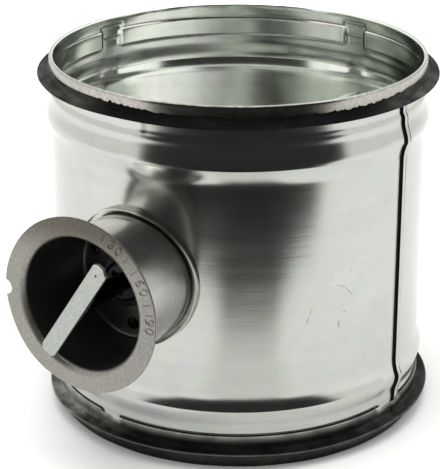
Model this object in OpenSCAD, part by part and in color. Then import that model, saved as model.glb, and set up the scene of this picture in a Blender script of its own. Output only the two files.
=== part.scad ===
// Manual regulating damper for a round sheet-metal duct.
// Origin: duct axis, in the plane of the lower rim. +Z runs up the duct,
// the handle collar points along -Y, the lock seam of the shell is on +X.
// All sizes are in millimetres.

/* [Duct shell] */
// Outside diameter of the plain duct wall
duct_d = 159; // [158:0.5:160]
// Overall length from rim to rim
duct_l = 155.3; // [154:0.1:162]
// Thickness of the shell sheet
sheet_t = 0.6; // [0.5:0.05:0.65]
// Length of the sunk seat for the lip seal at each end
seat_l = 14; // [13:0.5:15]
// Depth of that seat below the duct wall
seat_depth = 1.05; // [1:0.05:1.1]
// Length of the folded hem that grips the seal
hem_l = 5; // [4.5:0.1:5.2]
// How far the stop bead stands out of the wall
bead_rise = 1.8; // [1.2:0.1:2.2]
// Distance of the bead's crest from the rim
bead_pos = 25.6; // [24:0.1:27]
// Width of the raised lock seam
seam_w = 3.2; // [2.5:0.1:5]
// Height of the lock seam above the wall
seam_h = 1.3; // [0.8:0.1:1.6]

/* [Lip seals] */
// Outside diameter over the free lip
lip_d = 169.4; // [167:0.2:170]
// Distance of the lip's edge from the rim
lip_pos = 7.6; // [7.2:0.1:8]
// End of the lower seal's flat band, from the rim
band_l = 13.4; // [9:0.1:13.6]

/* [Handle collar] */
// Height of the collar's axis above the lower rim
collar_z = 79.8; // [78:0.1:80]
// Distance of the flange face from the duct axis
flange_y = 114.5; // [112:0.5:116]
// Outside diameter of the flange
flange_d = 72.4; // [70:0.2:76]
// Outside diameter of the collar tube at its mouth
tube_d = 56.4; // [56:0.2:57]
// Outside diameter of the collar tube at the duct wall
tube_base_d = 53.6; // [53:0.2:54]
// Thickness of the collar sheet
collar_t = 0.9; // [0.8:0.05:1]
// Radius of the rolled mouth, on its inner face
mouth_r = 2.8; // [2:0.1:3]
// Outside diameter of the saddle plate under the collar
plate_d = 58.8; // [58:0.2:60]
// Height of the saddle plate's turned-up rim
plate_rim = 2.2; // [1:0.1:3]
// Radius of the half-round notch in the flange edge
notch_r = 3.4; // [2:0.1:4]

/* [Blade] */
// Diameter of the damper blade
blade_d = 153.4; // [150:0.2:154.2]
// Thickness of the blade sheet
blade_t = 1.2; // [1:0.05:1.5]
// Angle of the blade above the horizontal as stored
blade_a = 52.5; // [40:0.5:54]
// Distance of each stiffening bead from the shaft
rib_x = 40; // [30:1:48]

/* [Shaft and lever] */
// Diameter of the shaft and the far pivot
shaft_d = 8; // [8:0.1:8.2]
// Radial running clearance in the bushes
run_gap = 0.05; // [0.03:0.01:0.09]
// Angle of the lever above the horizontal as stored
lever_a = 56.2; // [40:0.1:60]
// Width of the lever's hub, over its two cheeks
lever_w = 6.2; // [6:0.1:6.4]
// Length of the lever from the axis to its pointer tip
lever_tip = 23.8; // [20:0.1:25.5]
// Length of the lever from the axis to its plain end
lever_tail = 26.6; // [20:0.1:26.8]
// Height of the lever's outer face beyond the flange face
lever_proud = 2.9; // [2:0.1:4]
// Thickness of the hub's cheeks
lever_t = 1.2; // [1:0.05:1.25]
// Thickness of the lever's flat bar
bar_t = 1.5; // [1.2:0.1:1.6]
// Depth of the hub, from the lever's outer face to its edge
lever_leg = 4.8; // [4.6:0.1:6]
// Turn of the lever from the stored place to open
turn_open = 37.5; // [30:0.5:50]
// Turn of the lever from the stored place to closed
turn_shut = 52.5; // [40:0.5:54]

/* [Hidden] */
$fn = 96;
e = 0.01;
R = duct_d / 2;                 // outer radius of the wall
Ri = R - sheet_t;               // inner radius of the wall
Rs = R - seat_depth;            // outer radius of the seal seat
gap = sheet_t;                  // room for the seal's foot inside the hem
zinc = [0.80, 0.82, 0.81];
steel = [0.72, 0.73, 0.74];
black = [0.09, 0.09, 0.09];
nylon = [0.13, 0.13, 0.14];

// smooth rise from 0 to 1
function ease(u) = u * u * (3 - 2 * u);
// height of the bead above the wall at distance s from the rim
b0 = bead_pos - 8.1;            // where the bead starts
b1 = bead_pos + 7.4;            // where it ends
function bead(s) = s <= b0 || s >= b1 ? 0
    : s < bead_pos - 0.5 ? bead_rise * ease((s - b0) / (bead_pos - 0.5 - b0))
    : s < bead_pos + 0.4 ? bead_rise
    : bead_rise * pow(1 - (s - bead_pos - 0.4) / (b1 - bead_pos - 0.4), 1.7);
bead_s = [b0, b0 + 1.6, b0 + 3, b0 + 4.4, b0 + 5.8, b0 + 6.9, bead_pos - 0.5,
          bead_pos + 0.4, bead_pos + 1.2, bead_pos + 2.2, bead_pos + 3.6, bead_pos + 5.4, b1];

// wall line at a distance off the outer face, from the seat's step to the middle
function wall(off) = concat([[Rs - off, seat_l], [R - off, seat_l + 1.3]],
                            [for (s = bead_s) [R + bead(s) - off, s]]);
function rev(v) = [for (i = [len(v) - 1 : -1 : 0]) v[i]];
function up(v) = [for (p = v) [p[0], duct_l - p[1]]];

rim_in = [[Rs - sheet_t + 0.35, 0], [Rs - sheet_t, 0.35]];
hem_out = [[Rs, gap], [Rs + gap, gap], [Rs + gap, hem_l], [Rs + gap + sheet_t, hem_l],
           [Rs + gap + sheet_t, 0.35], [Rs + gap + sheet_t - 0.35, 0]];

shell_half_in = concat(rim_in, wall(sheet_t));
shell_half_out = concat(rev(wall(0)), hem_out);

// local frame of the collar: Z outward along -Y, X to the right, Y up
module on_collar() { translate([0, 0, collar_z]) rotate([90, 0, 0]) children(); }
// a radial place on the duct wall, a degrees from -Y towards +X, at height z
module on_wall(a, z) { translate([0, 0, z]) rotate([0, 0, a]) rotate([90, 0, 0]) children(); }
module tube_z(r1, r0, h) { difference() { cylinder(r = r1, h = h); translate([0, 0, -1]) cylinder(r = r0, h = h + 2); } }

// saddle plate, floor of the collar and its three fixings
fix_r = 19.6;
fix_a = [154.5, 274.5, 34.5];
plate_out = R + 0.8;
cup_out = plate_out + collar_t;
function fix_turn(i) = asin(fix_r * cos(fix_a[i]) / cup_out);
function fix_z(i) = collar_z + fix_r * sin(fix_a[i]);
module at_fixings() { for (i = [0 : 2]) on_wall(fix_turn(i), fix_z(i)) children(); }

bush_r = 7;
far_r = 6;
bush_in = R - 2;                // inner end of both bushes
bush_face = cup_out + 1.8;      // outer face of the near bush's flange
lug_a = 180;                    // place of the stop lug, seen from outside
lug_half = 10;

module duct_shell() {
    color(zinc) difference() {
        union() {
            rotate_extrude() polygon(concat(shell_half_in, rev(up(shell_half_in)),
                                            up(rev(shell_half_out)), shell_half_out));
            // lock seam, proud of the wall, dressed flat under the lower seal's band
            seam_deg = seam_w / R * 180 / PI;
            rotate([0, 0, -seam_deg / 2]) rotate_extrude(angle = seam_deg)
                polygon(concat([[Rs - 0.3, band_l + 0.1]], wall(0.3), rev(up(wall(0.3))), [[Rs - 0.3, duct_l - 9.5]],
                               [[Rs + seam_h, duct_l - 9.5]], up(wall(-seam_h)), rev(wall(-seam_h)), [[Rs + seam_h, band_l + 0.1]]));
        }
        on_collar() translate([0, 0, R - 10]) cylinder(r = bush_r, h = 20);
        on_collar() translate([0, 0, -R - 10]) cylinder(r = far_r, h = 20);
        at_fixings() translate([0, 0, R - 6]) cylinder(r = 1.6, h = 12, $fn = 48);
    }
}

// seal with its foot in the hem, one lip that trails towards the middle,
// and a flat band in the seat up to a distance from the rim
module seal(band) {
    lr = lip_d / 2;
    rotate_extrude() polygon([[Rs, gap], [Rs + gap, gap], [Rs + gap, hem_l], [Rs + gap + 0.85, hem_l + 0.1],
        [Rs + 2.4, hem_l + 0.9], [Rs + 2.9, hem_l + 0.75], [lr - 0.6, lip_pos - 0.6], [lr, lip_pos - 0.15],
        [lr, lip_pos + 0.2], [lr - 0.7, lip_pos + 0.4], [Rs + 2, lip_pos + 0.1], [Rs + 0.9, lip_pos + 0.8],
        [Rs + 0.9, band - 0.3], [Rs + 0.6, band], [Rs, band]]);
}
module seal_bottom() { color(black) seal(band_l); }
module seal_top() { color(black) translate([0, 0, duct_l]) mirror([0, 0, 1]) seal(lip_pos + 1.3); }

// drawn collar: saddle floor, slightly tapered tube, rolled mouth, flat flange
module handle_collar() {
    fr = flange_d / 2; tr = tube_d / 2; br = tube_base_d / 2;
    arc_r = tr - collar_t + mouth_r;        // radius of the mouth's arc centre
    arc_h = flange_y - mouth_r;
    low = R - 14;
    color([0.66, 0.65, 0.62]) difference() {
        on_collar() rotate_extrude() polygon(concat([[0, low], [br, low], [tr, arc_h]],
            [for (a = [10 : 10 : 80]) [arc_r - (mouth_r - collar_t) * cos(a), arc_h + (mouth_r - collar_t) * sin(a)]],
            [[arc_r, flange_y - collar_t], [fr - 0.25, flange_y - collar_t], [fr, flange_y - collar_t + 0.25],
             [fr, flange_y - 0.25], [fr - 0.25, flange_y], [0, flange_y]]));
        difference() {
            on_collar() rotate_extrude() polygon(concat([[0, low - 1], [br - collar_t, low - 1], [tr - collar_t, arc_h]],
                [for (a = [10 : 10 : 80]) [arc_r - mouth_r * cos(a), arc_h + mouth_r * sin(a)]],
                [[arc_r, flange_y], [arc_r, flange_y + 1], [0, flange_y + 1]]));
            translate([0, 0, -1]) cylinder(r = cup_out, h = duct_l + 2);
        }
        translate([0, 0, -1]) cylinder(r = plate_out, h = duct_l + 2);
        on_collar() translate([-(fr + 0.6), 0, flange_y - 5]) cylinder(r = notch_r, h = 10);
        on_collar() translate([0, 0, R - 13]) cylinder(r = bush_r, h = 26);
        at_fixings() translate([0, 0, R - 6]) cylinder(r = 1.6, h = 12, $fn = 48);
    }
}

// a layer bent over the duct wall, between two radii from the duct axis
// and between two radii from the collar's axis
module saddle(r_in, r_out, c_in, c_out) {
    intersection() {
        difference() { cylinder(r = r_out, h = duct_l); translate([0, 0, -1]) cylinder(r = r_in, h = duct_l + 2); }
        on_collar() translate([0, 0, R - 14]) tube_z(c_out, c_in, 28);
    }
}

// saddle plate between the wall and the collar, its rim turned up round the collar
module saddle_plate() {
    pr = plate_d / 2;
    color(zinc) difference() {
        union() {
            saddle(R, plate_out, bush_r, pr);
            saddle(R, plate_out + plate_rim, pr - 0.6, pr);
        }
        at_fixings() translate([0, 0, R - 6]) cylinder(r = 1.6, h = 12, $fn = 48);
    }
}

// domed rivets with a hollow shank's mark in the head
module collar_rivets() {
    color(steel) at_fixings() rotate_extrude($fn = 48) polygon([[0, Ri - 2], [1.8, Ri - 2], [2.5, Ri - 1.4], [2.5, Ri - 0.06],
        [1.6, Ri - 0.06], [1.6, cup_out], [2.6, cup_out], [2.5, cup_out + 0.5], [2.1, cup_out + 0.9],
        [1.4, cup_out + 1.2], [0.8, cup_out + 1.25], [0.8, cup_out + 0.7], [0, cup_out + 0.7]]);
}

// flanged bush with the stop lug moulded on its flange
module near_bush() {
    color(nylon) difference() {
        union() {
            on_collar() translate([0, 0, bush_in]) cylinder(r = bush_r, h = bush_face - bush_in - 0.5);
            difference() {
                on_collar() translate([0, 0, R - 4]) cylinder(r = 11, h = bush_face - R + 4);
                translate([0, 0, -1]) cylinder(r = cup_out, h = duct_l + 2);
            }
            on_collar() rotate([0, 0, lug_a]) translate([8.2, -1.4, bush_face - 0.4]) cube([2.4, 2.8, 2.1]);
        }
        on_collar() translate([0, 0, bush_in - 1]) cylinder(r = shaft_d / 2 + run_gap, h = 20);
    }
}

// blind flanged bush on the far side
module far_bush() {
    color(nylon) difference() {
        union() {
            on_collar() translate([0, 0, -(R + 4)]) cylinder(r = far_r, h = R + 4 - bush_in);
            difference() {
                on_collar() translate([0, 0, -(R + 1.8)]) cylinder(r = 9, h = 5);
                translate([0, 0, -1]) cylinder(r = R, h = duct_l + 2);
            }
        }
        on_collar() translate([0, 0, -(R + 2.5)]) cylinder(r = shaft_d / 2 + run_gap, h = R + 2.5 - bush_in + 1);
    }
}

// frames that turn with the lever: blade frame and lever frame
module in_blade() { on_collar() rotate([0, 0, blade_a]) children(); }
module in_lever() { on_collar() rotate([0, 0, lever_a]) children(); }

tail_t = 2.2;                   // thickness of the flattened tails
round_in = bush_in - 3.5;       // inner end of the round part
tail_in = 44;                   // inner end of the flattened tails
blade_rivet_h = [52, 66];
sr = shaft_d / 2;
lever_h = flange_y + lever_proud;   // lever's outer face
tang_h = lever_h - bar_t - 0.2;     // end of the shaft, under the lever's bar
cross_h = lever_h - 3.1;            // height of the lever's cross pin

// flattened tail that lies on the blade
module tail() {
    translate([0, blade_t / 2 + tail_t, 0]) rotate([90, 0, 0]) linear_extrude(height = tail_t)
        polygon([[-5, round_in + 0.5], [-5, tail_in + 2], [-3, tail_in], [3, tail_in], [5, tail_in + 2], [5, round_in + 0.5]]);
}
module tail_holes() { for (h = blade_rivet_h) translate([0, 0, h]) rotate([90, 0, 0]) translate([0, 0, -10]) cylinder(r = 1.5, h = 20, $fn = 48); }

module drive_shaft() {
    flat_h = lever_h - lever_leg - 0.6;     // top of the key flats, foot of the tang
    tang = lever_w / 2 - lever_t - 0.05;
    color(steel) difference() {
        union() {
            in_blade() difference() { tail(); tail_holes(); }
            on_collar() translate([0, 0, round_in]) cylinder(r = sr, h = tang_h - round_in);
            on_collar() translate([0, 0, bush_in - 1.7]) cylinder(r = 5.5, h = 1.5);
        }
        in_lever() for (m = [0, 1]) mirror([0, m, 0]) {
            translate([-8, 3, bush_face]) cube([16, 4, flat_h - bush_face]);
            translate([-8, tang, flat_h]) cube([16, 6, 30]);
        }
        // groove of the retaining clip and groove of the o-ring
        on_collar() translate([0, 0, bush_face + 3]) tube_z(6, 3.2, 0.85);
        on_collar() translate([0, 0, R - 0.2]) tube_z(6, 3.1, 1.4);
        in_lever() translate([0, 0, cross_h]) rotate([90, 0, 0]) translate([0, 0, -6]) cylinder(r = 1, h = 12, $fn = 48);
    }
}

module far_pivot() {
    color(steel) union() {
        in_blade() mirror([0, 0, 1]) difference() { tail(); tail_holes(); }
        on_collar() translate([0, 0, -(R + 2.2)]) cylinder(r = sr, h = R + 2.2 - round_in);
        on_collar() translate([0, 0, -(bush_in - 0.2)]) cylinder(r = 5.5, h = 1.5);
    }
}

module shaft_o_ring() {
    color(black) on_collar() translate([0, 0, R + 0.5]) rotate_extrude() translate([3.55, 0]) circle(r = 0.45, $fn = 32);
}

// round blade, notched for the bush ends, with two stiffening beads
module blade() {
    br = blade_d / 2; t = blade_t / 2; ro = 3; rn = ro - blade_t; half = 40;
    module rib(r, cut) {
        for (s = [-1, 1]) translate([s * rib_x, cut, 0]) {
            translate([0, 0, -half]) cylinder(r = r, h = 2 * half);
            for (z = [-half, half]) translate([0, 0, z]) sphere(r = r);
        }
    }
    color(zinc) in_blade() difference() {
        union() {
            rotate([90, 0, 0]) translate([0, 0, -t]) cylinder(r = br, h = 2 * t);
            intersection() { rib(ro, t - blade_t); translate([-br, 0, -br]) cube([2 * br, 10, 2 * br]); }
        }
        rib(rn, t - blade_t);
        for (m = [0, 1]) mirror([0, 0, m]) {
            translate([-6.2, -2, bush_in - 2]) cube([12.4, 4, 10]);
            translate([-sr - 0.3, -2, round_in - 0.2]) cube([2 * sr + 0.6, 4, 10]);
            tail_holes();
        }
    }
}

module blade_rivets() {
    color(steel) in_blade() for (m = [0, 1]) mirror([0, 0, m]) for (h = blade_rivet_h) translate([0, 0, h]) rotate([-90, 0, 0])
        rotate_extrude($fn = 48) polygon([[0, -blade_t / 2 - 1.1], [1.6, -blade_t / 2 - 1.0], [2.5, -blade_t / 2 - 0.5], [2.8, -blade_t / 2],
            [1.5, -blade_t / 2], [1.5, blade_t / 2 + tail_t], [2.8, blade_t / 2 + tail_t], [2.5, blade_t / 2 + tail_t + 0.5],
            [1.6, blade_t / 2 + tail_t + 1.0], [0, blade_t / 2 + tail_t + 1.1]]);
}

// cast flat bar with cut corners and a shouldered pointer end; at the back
// two cheeks stand off it and straddle the shaft's tang
module lever() {
    w = lever_w / 2; up_y = 3.3; dn_y = 3.8; hub = 6.6; tip = lever_tip; tail = lever_tail;
    color([0.74, 0.76, 0.74]) in_lever() difference() {
        union() {
            translate([0, 0, lever_h - bar_t]) linear_extrude(height = bar_t)
                polygon([[-tail, -2.5], [1.8 - tail, -dn_y], [tip - 1.8, -dn_y], [tip - 1.7, -2.9], [tip - 1.2, -2.3],
                         [tip, -1.2], [tip, 1.7], [tip - 1.25, up_y], [2.2 - tail, up_y], [-tail, 2.3]]);
            for (m = [0, 1]) mirror([0, m, 0]) translate([-hub, w - lever_t, lever_h - lever_leg]) cube([2 * hub, lever_t, lever_leg - bar_t + 0.2]);
        }
        translate([0, 0, cross_h]) rotate([90, 0, 0]) translate([0, 0, -6]) cylinder(r = 1, h = 12, $fn = 48);
        // small punched dimple that marks the pointer end
        translate([19.2, 0, lever_h - 0.5]) cylinder(r = 0.55, h = 1, $fn = 32);
    }
}

// flush cross pin through the cheeks and the shaft's tang
module lever_pin() {
    w = lever_w / 2 - 0.15;
    color(steel) in_lever() translate([0, 0, cross_h]) rotate([-90, 0, 0]) rotate_extrude($fn = 48)
        polygon([[0, -w], [0.8, -w], [1, -w + 0.2], [1, w - 0.2], [0.8, w], [0, w]]);
}

// washer keyed on the shaft's flats; the ends of its notch meet the lug
module stop_washer() {
    color(zinc) difference() {
        on_collar() translate([0, 0, bush_face + 0.2]) cylinder(r = 11, h = 1.5);
        in_lever() intersection() {
            translate([0, 0, bush_face - 1]) cylinder(r = sr + 0.05, h = 4);
            translate([-6, -3.05, bush_face - 2]) cube([12, 6.1, 6]);
        }
        on_collar() rotate([0, 0, lug_a - lug_half - turn_open]) translate([0, 0, bush_face - 1])
            rotate_extrude(angle = 2 * lug_half + turn_open + turn_shut) translate([7.7, 0]) square([5, 4]);
    }
}

module disc_spring() {
    color(steel) on_collar() translate([0, 0, bush_face + 1.7]) rotate_extrude()
        polygon([[4.3, 0.65], [8.5, 0], [8.5, 0.55], [4.3, 1.2]]);
}

module retaining_clip() {
    color(steel) on_collar() rotate([0, 0, 20]) translate([0, 0, bush_face + 3]) difference() {
        cylinder(r = 7.2, h = 0.8);
        translate([0, 0, -1]) cylinder(r = 3.2, h = 3);
        translate([0, -2.7, -1]) cube([10, 5.4, 3]);
        for (a = [115, 245]) rotate([0, 0, a]) translate([4.2, 0, -1]) cylinder(r = 1.5, h = 3, $fn = 48);
    }
}

duct_shell();
seal_top();
seal_bottom();
handle_collar();
saddle_plate();
collar_rivets();
near_bush();
far_bush();
drive_shaft();
far_pivot();
shaft_o_ring();
blade();
blade_rivets();
lever();
lever_pin();
stop_washer();
disc_spring();
retaining_clip();
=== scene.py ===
import math

import bpy
import numpy as np
from mathutils import Matrix, Vector


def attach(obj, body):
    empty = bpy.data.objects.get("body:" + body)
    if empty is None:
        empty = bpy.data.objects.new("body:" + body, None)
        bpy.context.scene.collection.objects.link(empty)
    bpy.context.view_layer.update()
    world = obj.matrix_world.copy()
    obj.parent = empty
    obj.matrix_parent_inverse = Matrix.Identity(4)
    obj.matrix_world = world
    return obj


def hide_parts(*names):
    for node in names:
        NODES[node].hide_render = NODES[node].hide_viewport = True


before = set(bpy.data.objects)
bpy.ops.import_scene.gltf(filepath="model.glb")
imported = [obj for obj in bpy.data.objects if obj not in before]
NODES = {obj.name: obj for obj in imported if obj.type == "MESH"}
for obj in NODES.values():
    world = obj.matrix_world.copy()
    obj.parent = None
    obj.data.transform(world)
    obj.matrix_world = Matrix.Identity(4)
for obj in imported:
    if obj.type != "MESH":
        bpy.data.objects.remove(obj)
scene = bpy.context.scene


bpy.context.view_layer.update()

# ---------------------------------------------------------------- sizes, mm
MM = 0.001
R = 79.5            # outer radius of the plain wall
RS = 78.45          # outer radius of the seal seat
T = 0.6             # sheet
L = 155.3           # rim to rim
CZ = 79.8           # height of the collar's axis
FLANGE = 114.5      # flange face from the duct axis
CAM_AZ = 302.32     # azimuth of the camera, degrees from +X


def sm(x):
    x = np.clip(x, 0, 1)
    return x * x * (3 - 2 * x)


def wrap(a):
    return (np.asarray(a, float) + 180) % 360 - 180


def rnd_curve(th, seed, lo, hi, n):
    """smooth random function of the angle th (degrees), made of n waves between the wave numbers lo and hi"""
    g = np.random.default_rng(seed)
    k = g.integers(lo, hi + 1, n)
    p = g.uniform(0, 2 * np.pi, n)
    a = g.uniform(0.5, 1, n)
    t = np.radians(np.asarray(th, float))
    return sum(a[i] * np.sin(k[i] * t + p[i]) for i in range(n)) / math.sqrt((a * a).sum() / 2)


def grid_piece(name, P, mats, face_mat=None, attrs=None, sharp=38, flip=False):
    """closed mesh from a grid of points (mm) that wraps round in both directions"""
    ni, nj = P.shape[:2]
    me = bpy.data.meshes.new(name)
    co = (P.reshape(-1, 3) * MM).astype(np.float32)
    i, j = np.meshgrid(np.arange(ni), np.arange(nj), indexing="ij")
    i2, j2 = (i + 1) % ni, (j + 1) % nj
    quad = np.stack([i * nj + j, i2 * nj + j, i2 * nj + j2, i * nj + j2], -1).reshape(-1, 4)
    if flip:
        quad = quad[:, ::-1]
    nf = len(quad)
    me.vertices.add(len(co))
    me.vertices.foreach_set("co", co.ravel())
    me.loops.add(nf * 4)
    me.loops.foreach_set("vertex_index", quad.ravel().astype(np.int32))
    me.polygons.add(nf)
    me.polygons.foreach_set("loop_start", np.arange(0, nf * 4, 4, dtype=np.int32))
    me.polygons.foreach_set("loop_total", np.full(nf, 4, dtype=np.int32))
    for m in mats:
        me.materials.append(m)
    if face_mat is not None:
        me.polygons.foreach_set("material_index", face_mat.reshape(-1).astype(np.int32))
    me.polygons.foreach_set("use_smooth", np.ones(nf, dtype=bool))
    me.update(calc_edges=True)
    me.validate()
    for key, val in (attrs or {}).items():
        at = me.attributes.new(key, "FLOAT", "POINT")
        at.data.foreach_set("value", val.reshape(-1).astype(np.float32))
    me.set_sharp_from_angle(angle=math.radians(sharp))
    ob = bpy.data.objects.new(name, me)
    scene.collection.objects.link(ob)
    return ob


# ---------------------------------------------------------------- materials
class Mat:
    """a material under construction, with short calls for its nodes"""

    def __init__(self, name):
        self.m = bpy.data.materials.new(name)
        self.m.use_nodes = True
        self.nt = self.m.node_tree
        self.nt.nodes.clear()
        self.out = self.nt.nodes.new("ShaderNodeOutputMaterial")
        self.b = self.nt.nodes.new("ShaderNodeBsdfPrincipled")
        self.nt.links.new(self.b.outputs[0], self.out.inputs[0])
        self.co = None
        self.wall = None

    def set(self, **kw):
        for k, v in kw.items():
            self.b.inputs[k.replace("_", " ")].default_value = v
        return self

    def link(self, a, b):
        self.nt.links.new(a, b)

    def coords(self, scale=(1, 1, 1)):
        if self.co is None:
            self.co = self.nt.nodes.new("ShaderNodeTexCoord")
        mp = self.nt.nodes.new("ShaderNodeMapping")
        mp.inputs["Scale"].default_value = scale
        self.link(self.co.outputs["Object"], mp.inputs["Vector"])
        return mp.outputs[0]

    def noise(self, scale, detail=4, rough=0.5, stretch=(1, 1, 1), distort=0.0):
        n = self.nt.nodes.new("ShaderNodeTexNoise")
        n.inputs["Scale"].default_value = scale
        n.inputs["Detail"].default_value = detail
        n.inputs["Roughness"].default_value = rough
        n.inputs["Distortion"].default_value = distort
        self.link(self.coords(stretch), n.inputs["Vector"])
        return n.outputs[0]

    def voronoi(self, scale, stretch=(1, 1, 1), feature="F1", what="Color"):
        n = self.nt.nodes.new("ShaderNodeTexVoronoi")
        n.feature = feature
        n.inputs["Scale"].default_value = scale
        self.link(self.coords(stretch), n.inputs["Vector"])
        return n.outputs[what]

    def attr(self, name):
        n = self.nt.nodes.new("ShaderNodeAttribute")
        n.attribute_name = name
        return n.outputs["Fac"]

    def ramp(self, fac, stops):
        n = self.nt.nodes.new("ShaderNodeValToRGB")
        el = n.color_ramp.elements
        while len(el) < len(stops):
            el.new(0.5)
        for e, (p, c) in zip(el, stops):
            e.position = p
            e.color = (c, c, c, 1) if isinstance(c, (int, float)) else (*c, 1)
        self.link(fac, n.inputs[0])
        return n.outputs[0]

    def math(self, op, a, b=None, clamp=False):
        n = self.nt.nodes.new("ShaderNodeMath")
        n.operation = op
        n.use_clamp = clamp
        for k, v in enumerate((a, b)):
            if v is None:
                continue
            if isinstance(v, (int, float)):
                n.inputs[k].default_value = v
            else:
                self.link(v, n.inputs[k])
        return n.outputs[0]

    def mix(self, fac, a, b, blend="MIX"):
        n = self.nt.nodes.new("ShaderNodeMix")
        n.data_type = "RGBA"
        n.blend_type = blend
        for key, v in ((0, fac), (6, a), (7, b)):
            if isinstance(v, (int, float)):
                n.inputs[key].default_value = v
            elif isinstance(v, tuple):
                n.inputs[key].default_value = (*v, 1)
            else:
                self.link(v, n.inputs[key])
        return n.outputs[2]

    def bump(self, height, strength, distance, normal=None):
        n = self.nt.nodes.new("ShaderNodeBump")
        n.inputs["Strength"].default_value = strength
        n.inputs["Distance"].default_value = distance
        self.link(height, n.inputs["Height"])
        if normal is not None:
            self.link(normal, n.inputs["Normal"])
        return n.outputs[0]

    def on_wall(self):
        """position unrolled on the wall: (arc length, height) in metres"""
        if self.wall is None:
            sep = self.nt.nodes.new("ShaderNodeSeparateXYZ")
            self.link(self.coords(), sep.inputs[0])
            com = self.nt.nodes.new("ShaderNodeCombineXYZ")
            self.link(self.math("MULTIPLY", self.math("ARCTAN2", sep.outputs[1], sep.outputs[0]), R * MM), com.inputs[0])
            self.link(sep.outputs[2], com.inputs[1])
            self.wall = com.outputs[0]
        return self.wall

    def scratch(self, a, b, w):
        """1 on a thin line of the wall from a to b, 0 elsewhere"""
        a, b = ((math.radians(q[0]) * R * MM, q[1] * MM) for q in (a, b))
        n = math.hypot(b[0] - a[0], b[1] - a[1])
        d = ((b[0] - a[0]) / n, (b[1] - a[1]) / n)
        dots = []
        for v in (d, (-d[1], d[0])):
            dot = self.nt.nodes.new("ShaderNodeVectorMath")
            dot.operation = "DOT_PRODUCT"
            self.link(self.on_wall(), dot.inputs[0])
            dot.inputs[1].default_value = (v[0], v[1], 0)
            dots.append(self.math("SUBTRACT", dot.outputs["Value"], a[0] * v[0] + a[1] * v[1]))
        across = self.math("SUBTRACT", 1.0, self.math("DIVIDE", self.math("ABSOLUTE", dots[1]), w * MM), clamp=True)
        head = self.math("DIVIDE", dots[0], 0.0005, clamp=True)
        tail = self.math("DIVIDE", self.math("SUBTRACT", n, dots[0]), 0.0005, clamp=True)
        return self.math("MULTIPLY", across, self.math("MULTIPLY", head, tail))

    def to(self, key, out):
        self.link(out, self.b.inputs[key])
        return self


# scratches on the wall's front: ends as (angle from +X in degrees, height in mm), half width in mm
SCRATCHES = [((-35.5, 69.0), (-36.3, 66.3), 0.16), ((-36.4, 65.6), (-37.2, 62.4), 0.20), ((-26.4, 61.5), (-26.6, 58.0), 0.30),
             ((-27.6, 77.3), (-24.3, 75.2), 0.13), ((-24.2, 75.0), (-21.9, 71.2), 0.16), ((-25.4, 65.1), (-23.7, 64.5), 0.20),
             ((-29.9, 80.2), (-28.6, 79.6), 0.12), ((-22.8, 83.0), (-22.1, 80.9), 0.11)]


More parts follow.
